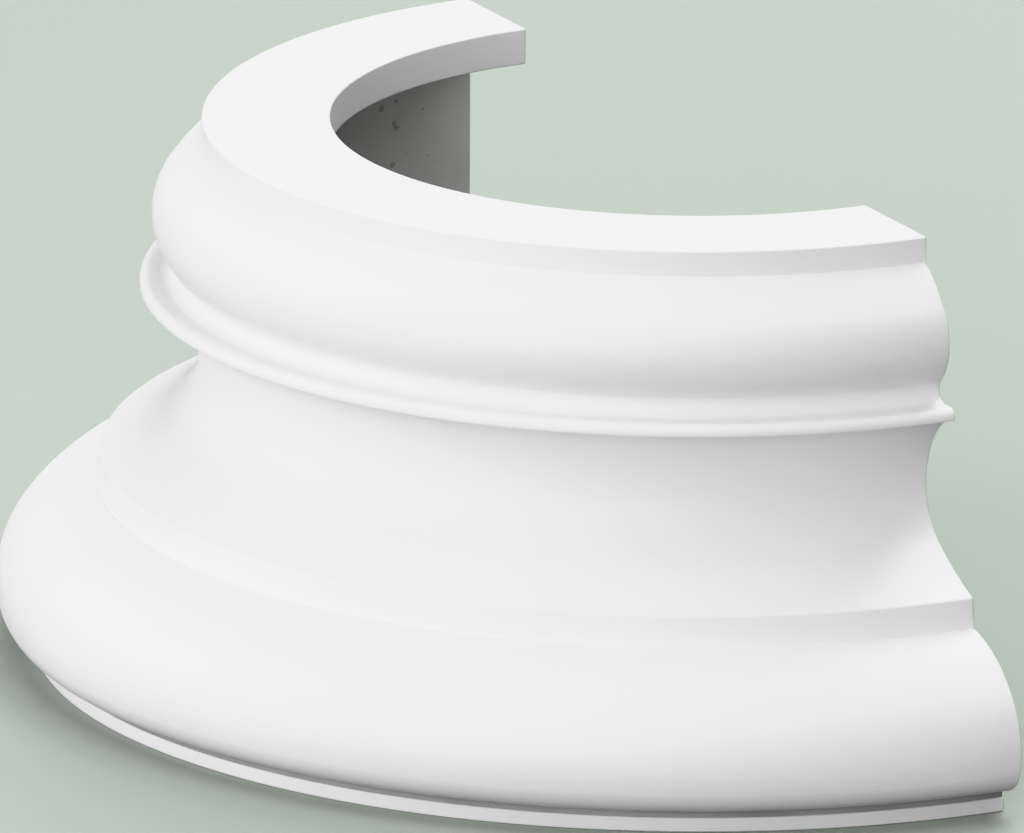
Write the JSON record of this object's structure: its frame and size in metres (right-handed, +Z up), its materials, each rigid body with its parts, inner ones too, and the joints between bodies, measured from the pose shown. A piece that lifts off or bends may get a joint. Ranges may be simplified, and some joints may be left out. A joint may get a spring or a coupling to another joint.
{
  "type": "half-round column base",
  "caption": "Half-round moulded column base with two tori, a scotia and fillets, hollow behind, to trim the foot of a round column or half column.",
  "frame": {"origin": "on the column axis, at floor level, in the plane of the flat back", "axes": "+Z up along the column axis, flat back in the plane Y = 0, round front towards -Y, cut ends at +X and -X"},
  "size_m": [0.482, 0.241, 0.1885],
  "materials": {
    "primed_foam": "matte white primer over moulded rigid foam"
  },
  "bodies": {
    "root": {"half_column_base": "primed_foam"}
  },
  "joints": []
}
